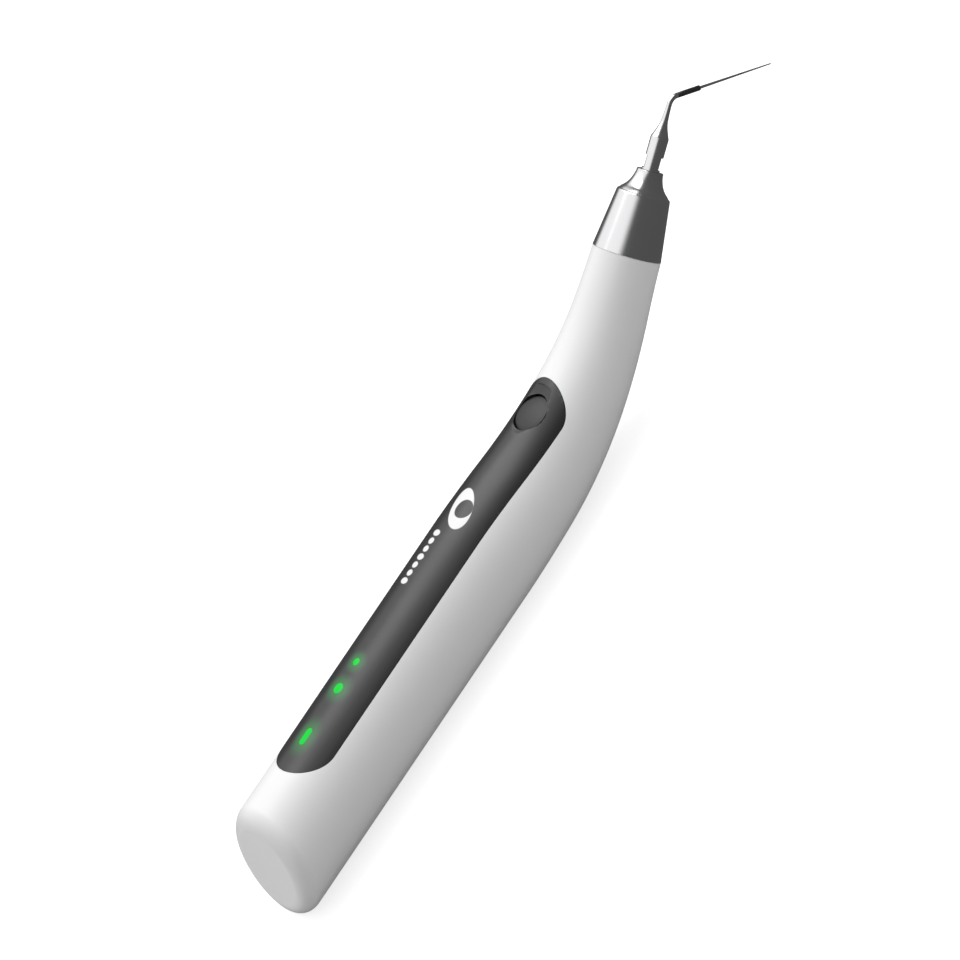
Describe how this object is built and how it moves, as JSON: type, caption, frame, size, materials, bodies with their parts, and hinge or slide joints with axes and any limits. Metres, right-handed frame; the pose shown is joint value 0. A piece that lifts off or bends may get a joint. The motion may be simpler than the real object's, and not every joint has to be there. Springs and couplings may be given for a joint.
{
  "type": "cordless ultrasonic dental handpiece",
  "caption": "Slim cordless handpiece with a bent polished nose, flush control panel, push button and status windows, and a bent screw-on tip holding a long tapered file for root-canal cleaning.",
  "frame": {"origin": "on the barrel's axis, 22.7 mm ahead of the rearmost point of the belly line, where the fully round grip has begun", "axes": "+X forward along the barrel to the nose, +Z out of the control panel, +Y completes the set; the nose bends up towards +Z"},
  "size_m": [0.2011, 0.0242, 0.0382],
  "materials": {
    "casing_white": "high-gloss moulded ABS, white",
    "panel_charcoal": "satin charcoal polycarbonate inlay",
    "button_rubber": "soft-touch dark silicone",
    "seal_rubber": "moulded silicone",
    "gasket_foam": "thin adhesive foam",
    "window_green": "clear light pipe lit green",
    "led_package": "clear epoxy package, green light",
    "board_green": "glass-fibre board with green solder mask",
    "chip_black": "moulded epoxy package",
    "ferrite": "sintered ferrite",
    "copper_wire": "enamelled copper winding",
    "screw_steel": "zinc-plated steel",
    "tray_plastic": "moulded glass-filled nylon",
    "cell_wrap": "shrink-wrapped metal can, plain blue",
    "contact_nickel": "nickel-plated spring steel",
    "contact_gold": "gold-plated brass",
    "steel_polished": "polished stainless steel",
    "steel_turned": "turned stainless steel",
    "ferrule_dark": "blackened steel",
    "titanium": "turned titanium alloy",
    "piezo_ceramic": "fired silvered ceramic",
    "brass_shim": "rolled brass shim",
    "sleeve_white": "fluoropolymer tube",
    "lead_red": "insulated stranded wire",
    "lead_black": "insulated stranded wire"
  },
  "bodies": {
    "casing": {"back_mass": "steel_turned", "battery_cell": "cell_wrap", "battery_contact_front": "contact_nickel", "battery_contact_rear": "contact_nickel", "battery_lead_negative": "lead_black", "battery_lead_positive": "lead_red", "battery_tray": "tray_plastic", "board_bridge": "tray_plastic", "board_screws": "screw_steel", "button_seal": "seal_rubber", "charge_board": "board_green", "charge_leads": "lead_black", "charge_pin_block": "tray_plastic", "charge_pins": "contact_gold", "controller_chip": "chip_black", "drive_lead_ground": "lead_black", "drive_lead_live": "lead_red", "drive_transistors": "chip_black", "electrode_rings": "brass_shim", "front_collar": "steel_turned", "horn": "titanium", "horn_mount_ring_front": "seal_rubber", "horn_mount_ring_rear": "seal_rubber", "housing_shell": "casing_white", "insulating_sleeve": "sleeve_white", "led_window_bar": "window_green", "led_window_large": "window_green", "led_window_small": "window_green", "lock_ring": "steel_turned", "main_board": "board_green", "nose_cone": "steel_polished", "nose_o_ring": "seal_rubber", "panel_gasket": "gasket_foam", "piezo_rings": "piezo_ceramic", "preload_bolt": "screw_steel", "status_leds": "led_package", "stem_seal": "seal_rubber", "tactile_switch": "chip_black", "top_panel": "panel_charcoal", "transformer_core": "ferrite", "transformer_winding": "copper_wire"},
    "button": {"power_button": "button_rubber"},
    "tip_carrier": {"tip_seal": "seal_rubber"},
    "tip": {"tip_body": "steel_polished", "file_ferrule": "ferrule_dark", "file_wire": "steel_polished"}
  },
  "joints": [
    {"name": "button_press", "type": "slide", "parent": "casing", "child": "button", "axis": [0, 0, -1], "range_m": [0, 0.0004], "stiffness_N_per_m": 4000},
    {"name": "tip_advance", "type": "slide", "parent": "casing", "child": "tip_carrier", "axis": [0.9171, 0, 0.3987], "range_m": [0, 0.0035]},
    {"name": "tip_turn", "type": "hinge", "parent": "tip_carrier", "child": "tip", "pos_m": [0.14543, 0, 0.02035], "axis": [0.9171, 0, 0.3987], "range_deg": [0, 2520]}
  ],
  "couplings": [
    {"joint": "tip_turn", "follows": "tip_advance", "rad_per_m": 12566}
  ]
}
